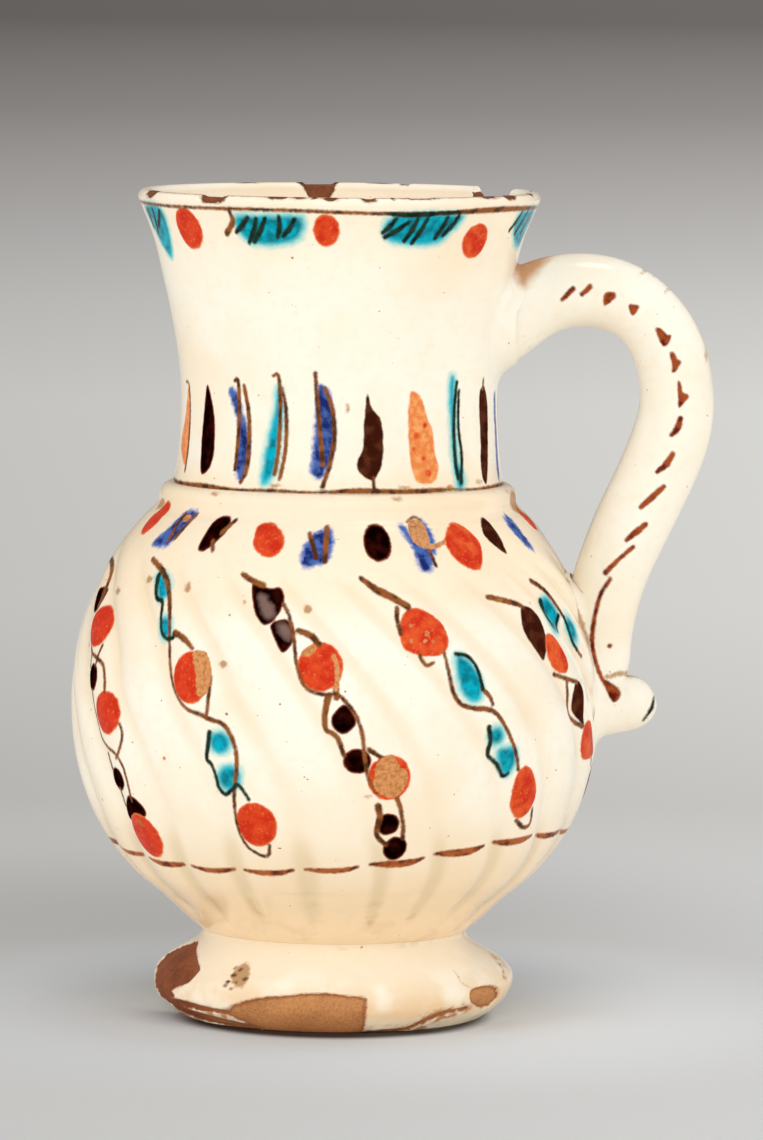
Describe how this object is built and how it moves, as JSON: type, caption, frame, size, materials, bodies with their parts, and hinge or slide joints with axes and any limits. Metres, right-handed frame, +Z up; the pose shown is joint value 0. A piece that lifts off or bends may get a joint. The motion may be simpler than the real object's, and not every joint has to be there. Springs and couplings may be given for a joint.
{
  "type": "glazed earthenware jug",
  "caption": "Round-bellied jug with twisted flutes, a flared neck, a splayed ring foot and a bent coil handle, glazed cream and painted with dots and vines; holds and pours liquid.",
  "frame": {"origin": "on the surface that the jug stands on, under the middle of its box", "axes": "+Z up along the jug's axis, +X towards the handle, -Y the side that the picture shows"},
  "size_m": [0.1394, 0.115, 0.18],
  "materials": {
    "body_glaze": "glossy cream glaze over slip, painted under the glaze",
    "neck_glaze": "glossy cream glaze, painted, with a chipped lip",
    "collar_glaze": "glossy cream glaze",
    "handle_glaze": "glossy cream glaze with brown dabs",
    "foot_glaze": "glossy cream glaze, chipped to the brown clay",
    "slip": "glazed-over slip seam"
  },
  "bodies": {
    "root": {"foot": "foot_glaze", "foot_lute": "slip", "body": "body_glaze", "neck_lute": "slip", "collar": "collar_glaze", "neck": "neck_glaze", "handle": "handle_glaze", "handle_top_lute": "slip", "handle_base_lute": "slip", "handle_curl": "handle_glaze"}
  },
  "joints": []
}
